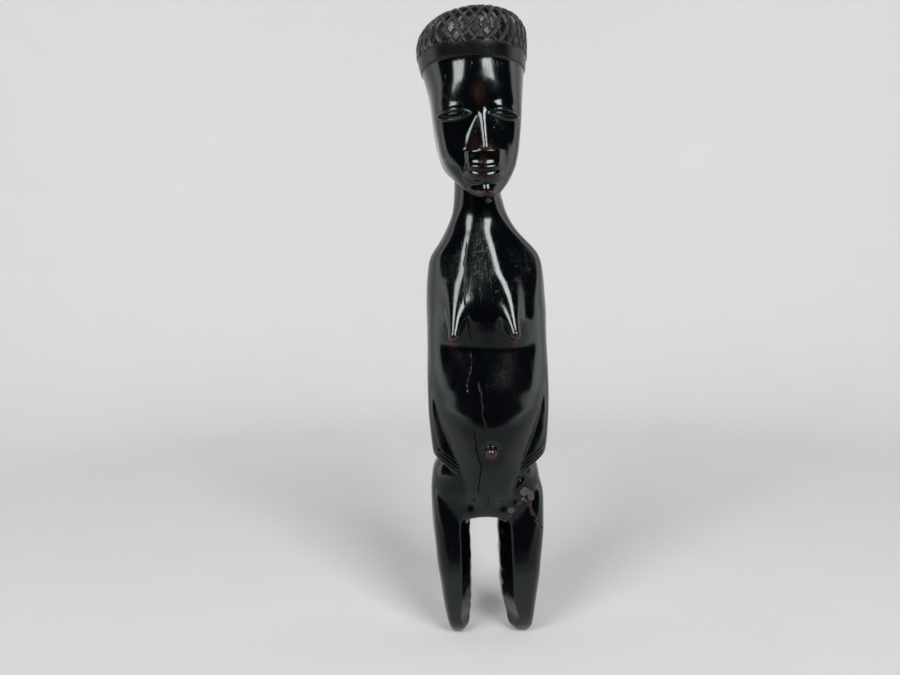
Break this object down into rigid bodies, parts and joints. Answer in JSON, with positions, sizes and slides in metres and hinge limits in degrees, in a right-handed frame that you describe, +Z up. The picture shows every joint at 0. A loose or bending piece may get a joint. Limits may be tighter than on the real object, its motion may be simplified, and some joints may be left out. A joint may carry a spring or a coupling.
{
  "type": "carved wooden figure",
  "caption": "Standing carved female figure in glossy dark wood, arms along the sides, cap of cross-hatched hair, short tapering legs, with an old glued break in one leg.",
  "frame": {"origin": "bottom centre of the figure's bounding box, on the surface that its leg tips stand on", "axes": "+Z up, the figure faces -Y, its left side is at +X"},
  "size_m": [0.0548, 0.0495, 0.2711],
  "materials": {
    "dark_wood": "oiled and handled until glossy, near black with red-brown worn points",
    "dark_wood_leg": "oiled and handled until glossy, near black, worn brown at the tip",
    "old_glue": "dried glue, dull pinkish tan",
    "putty": "smeared filler, dull grey brown",
    "wax_filler": "dull yellowish wax filler"
  },
  "bodies": {
    "root": {"carved_body": "dark_wood", "left_leg": "dark_wood_leg", "break_glue": "old_glue", "repair_putty": "putty", "check_filler": "wax_filler"}
  },
  "joints": []
}
